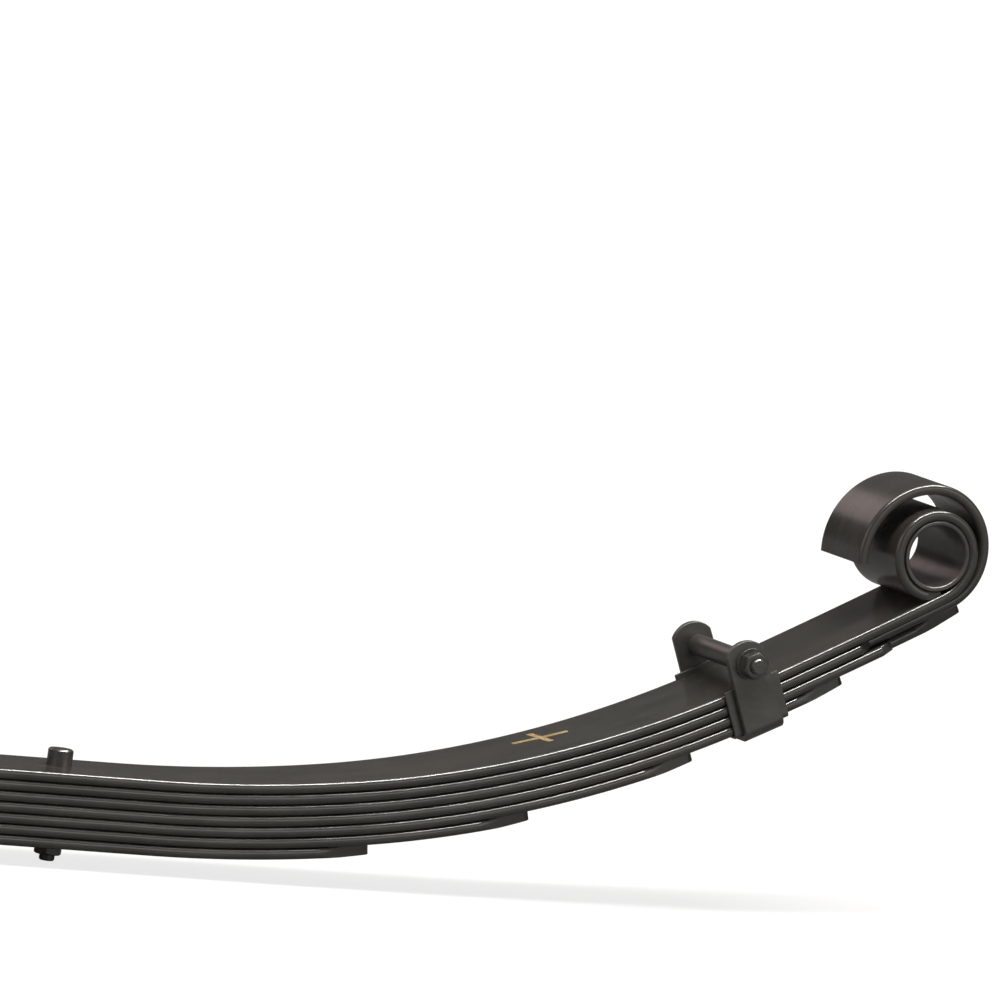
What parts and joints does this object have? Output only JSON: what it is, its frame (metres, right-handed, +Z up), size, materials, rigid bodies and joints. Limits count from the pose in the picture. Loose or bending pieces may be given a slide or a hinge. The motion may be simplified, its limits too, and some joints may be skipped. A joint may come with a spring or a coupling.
{
  "type": "multi-leaf spring",
  "caption": "Arched multi-leaf suspension spring with lined eyes, a wrapper leaf round each eye, a centre bolt and bolted rebound clips.",
  "frame": {"origin": "on the centre bolt's axis, at the flat top face of the main leaf", "axes": "+X along the spring towards one eye, +Y across its width, +Z up, the way the eyes curl and the centre bolt's head points"},
  "size_m": [1.2626, 0.1014, 0.2909],
  "materials": {
    "leaf_paint": "semi-gloss charcoal paint over shot-peened spring steel",
    "clip_paint": "satin charcoal paint over folded strip steel",
    "bolt_paint": "semi-gloss charcoal paint over bolts, nuts and washers",
    "bush_steel": "thin painted steel liner, glossy bore"
  },
  "bodies": {
    "leaf_pack": {"main_leaf": "leaf_paint", "wrapper_leaf": "leaf_paint", "third_leaf": "leaf_paint", "fourth_leaf": "leaf_paint", "fifth_leaf": "leaf_paint", "sixth_leaf": "leaf_paint", "seventh_leaf": "leaf_paint", "centre_bolt": "bolt_paint", "centre_nut": "bolt_paint"},
    "end_right": {"eye_bush_right": "bush_steel", "clip_strap_right": "clip_paint", "clip_liner_right": "clip_paint", "clip_bolt_right": "bolt_paint", "clip_nut_right": "bolt_paint", "clip_washer_right": "bolt_paint", "clip_rivet_right": "clip_paint"},
    "spacer_right": {"clip_spacer_right": "clip_paint"},
    "end_left": {"eye_bush_left": "bush_steel", "clip_strap_left": "clip_paint", "clip_liner_left": "clip_paint", "clip_bolt_left": "bolt_paint", "clip_nut_left": "bolt_paint", "clip_washer_left": "bolt_paint", "clip_rivet_left": "clip_paint"},
    "spacer_left": {"clip_spacer_left": "clip_paint"}
  },
  "joints": [
    {"name": "bend_right", "type": "hinge", "parent": "leaf_pack", "child": "end_right", "pos_m": [0.25658, 0, 0.00408], "axis": [0, 1, 0], "range_deg": [-2, 14], "stiffness_Nm_per_rad": 3300, "deforming": ["main_leaf", "wrapper_leaf", "third_leaf", "fourth_leaf", "fifth_leaf", "sixth_leaf", "seventh_leaf"]},
    {"name": "spacer_turn_right", "type": "hinge", "parent": "end_right", "child": "spacer_right", "pos_m": [0.46303, 0, 0.10482], "axis": [0, 1, 0], "continuous": true},
    {"name": "bend_left", "type": "hinge", "parent": "leaf_pack", "child": "end_left", "pos_m": [-0.25658, 0, 0.00408], "axis": [0, -1, 0], "range_deg": [-2, 14], "stiffness_Nm_per_rad": 3300, "deforming": ["main_leaf", "wrapper_leaf", "third_leaf", "fourth_leaf", "fifth_leaf", "sixth_leaf", "seventh_leaf"]},
    {"name": "spacer_turn_left", "type": "hinge", "parent": "end_left", "child": "spacer_left", "pos_m": [-0.46303, 0, 0.10482], "axis": [0, 1, 0], "continuous": true}
  ]
}
